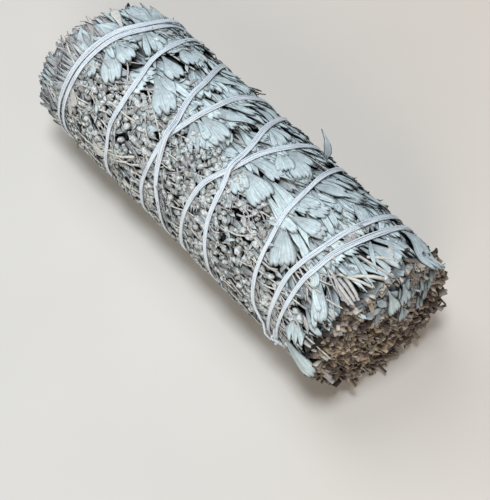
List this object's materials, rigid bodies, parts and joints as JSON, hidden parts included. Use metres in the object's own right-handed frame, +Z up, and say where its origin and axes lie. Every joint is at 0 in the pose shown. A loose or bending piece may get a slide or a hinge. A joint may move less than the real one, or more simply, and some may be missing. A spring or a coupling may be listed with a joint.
{
  "type": "dried sage bunch",
  "caption": "Round bunch of dried mountain sage lying on its side: leafy sprigs and budded flower spikes around woody stems, bound by a crossing cotton string.",
  "frame": {"origin": "on the surface that the bunch lies on, below the middle of its bounding box", "axes": "+X along the bunch towards the cut ends of the stems, +Z up"},
  "size_m": [0.1145, 0.0441, 0.0419],
  "materials": {
    "outer_leaf": "matt, felted, pale blue-green dried leaf",
    "sprig_leaves": "matt, felted, pale grey-green dried leaves",
    "flower_buds": "matt grey-beige dried buds on fine stalks",
    "woody_stem": "dry brown bark and pale cut wood",
    "cotton_string": "bluish white twisted cotton, matt"
  },
  "bodies": {
    "root": {"binding_string": "cotton_string", "flower_spike_1": "flower_buds", "flower_spike_2": "flower_buds", "flower_spike_3": "flower_buds", "flower_spike_4": "flower_buds", "flower_spike_5": "flower_buds", "flower_spike_6": "flower_buds", "leafy_sprig_1": "sprig_leaves", "leafy_sprig_2": "sprig_leaves", "leafy_sprig_3": "sprig_leaves", "leafy_sprig_4": "sprig_leaves", "leafy_sprig_5": "sprig_leaves", "leafy_sprig_6": "sprig_leaves", "leafy_sprig_7": "sprig_leaves", "outer_leaf_01": "outer_leaf", "outer_leaf_02": "outer_leaf", "outer_leaf_03": "outer_leaf", "outer_leaf_04": "outer_leaf", "outer_leaf_05": "outer_leaf", "outer_leaf_06": "outer_leaf", "outer_leaf_07": "outer_leaf", "outer_leaf_08": "outer_leaf", "outer_leaf_09": "outer_leaf", "outer_leaf_10": "outer_leaf", "outer_leaf_11": "outer_leaf", "outer_leaf_12": "outer_leaf", "outer_leaf_13": "outer_leaf", "outer_leaf_14": "outer_leaf", "outer_leaf_15": "outer_leaf", "outer_leaf_16": "outer_leaf", "outer_leaf_17": "outer_leaf", "outer_leaf_18": "outer_leaf", "outer_leaf_19": "outer_leaf", "outer_leaf_20": "outer_leaf", "raised_leaf": "outer_leaf", "woody_stem_01": "woody_stem", "woody_stem_02": "woody_stem", "woody_stem_03": "woody_stem", "woody_stem_04": "woody_stem", "woody_stem_05": "woody_stem", "woody_stem_06": "woody_stem", "woody_stem_07": "woody_stem", "woody_stem_08": "woody_stem", "woody_stem_09": "woody_stem", "woody_stem_10": "woody_stem", "woody_stem_11": "woody_stem", "woody_stem_12": "woody_stem", "woody_stem_13": "woody_stem", "woody_stem_14": "woody_stem", "woody_stem_15": "woody_stem", "woody_stem_16": "woody_stem", "woody_stem_17": "woody_stem", "woody_stem_18": "woody_stem", "woody_stem_19": "woody_stem"}
  },
  "joints": []
}
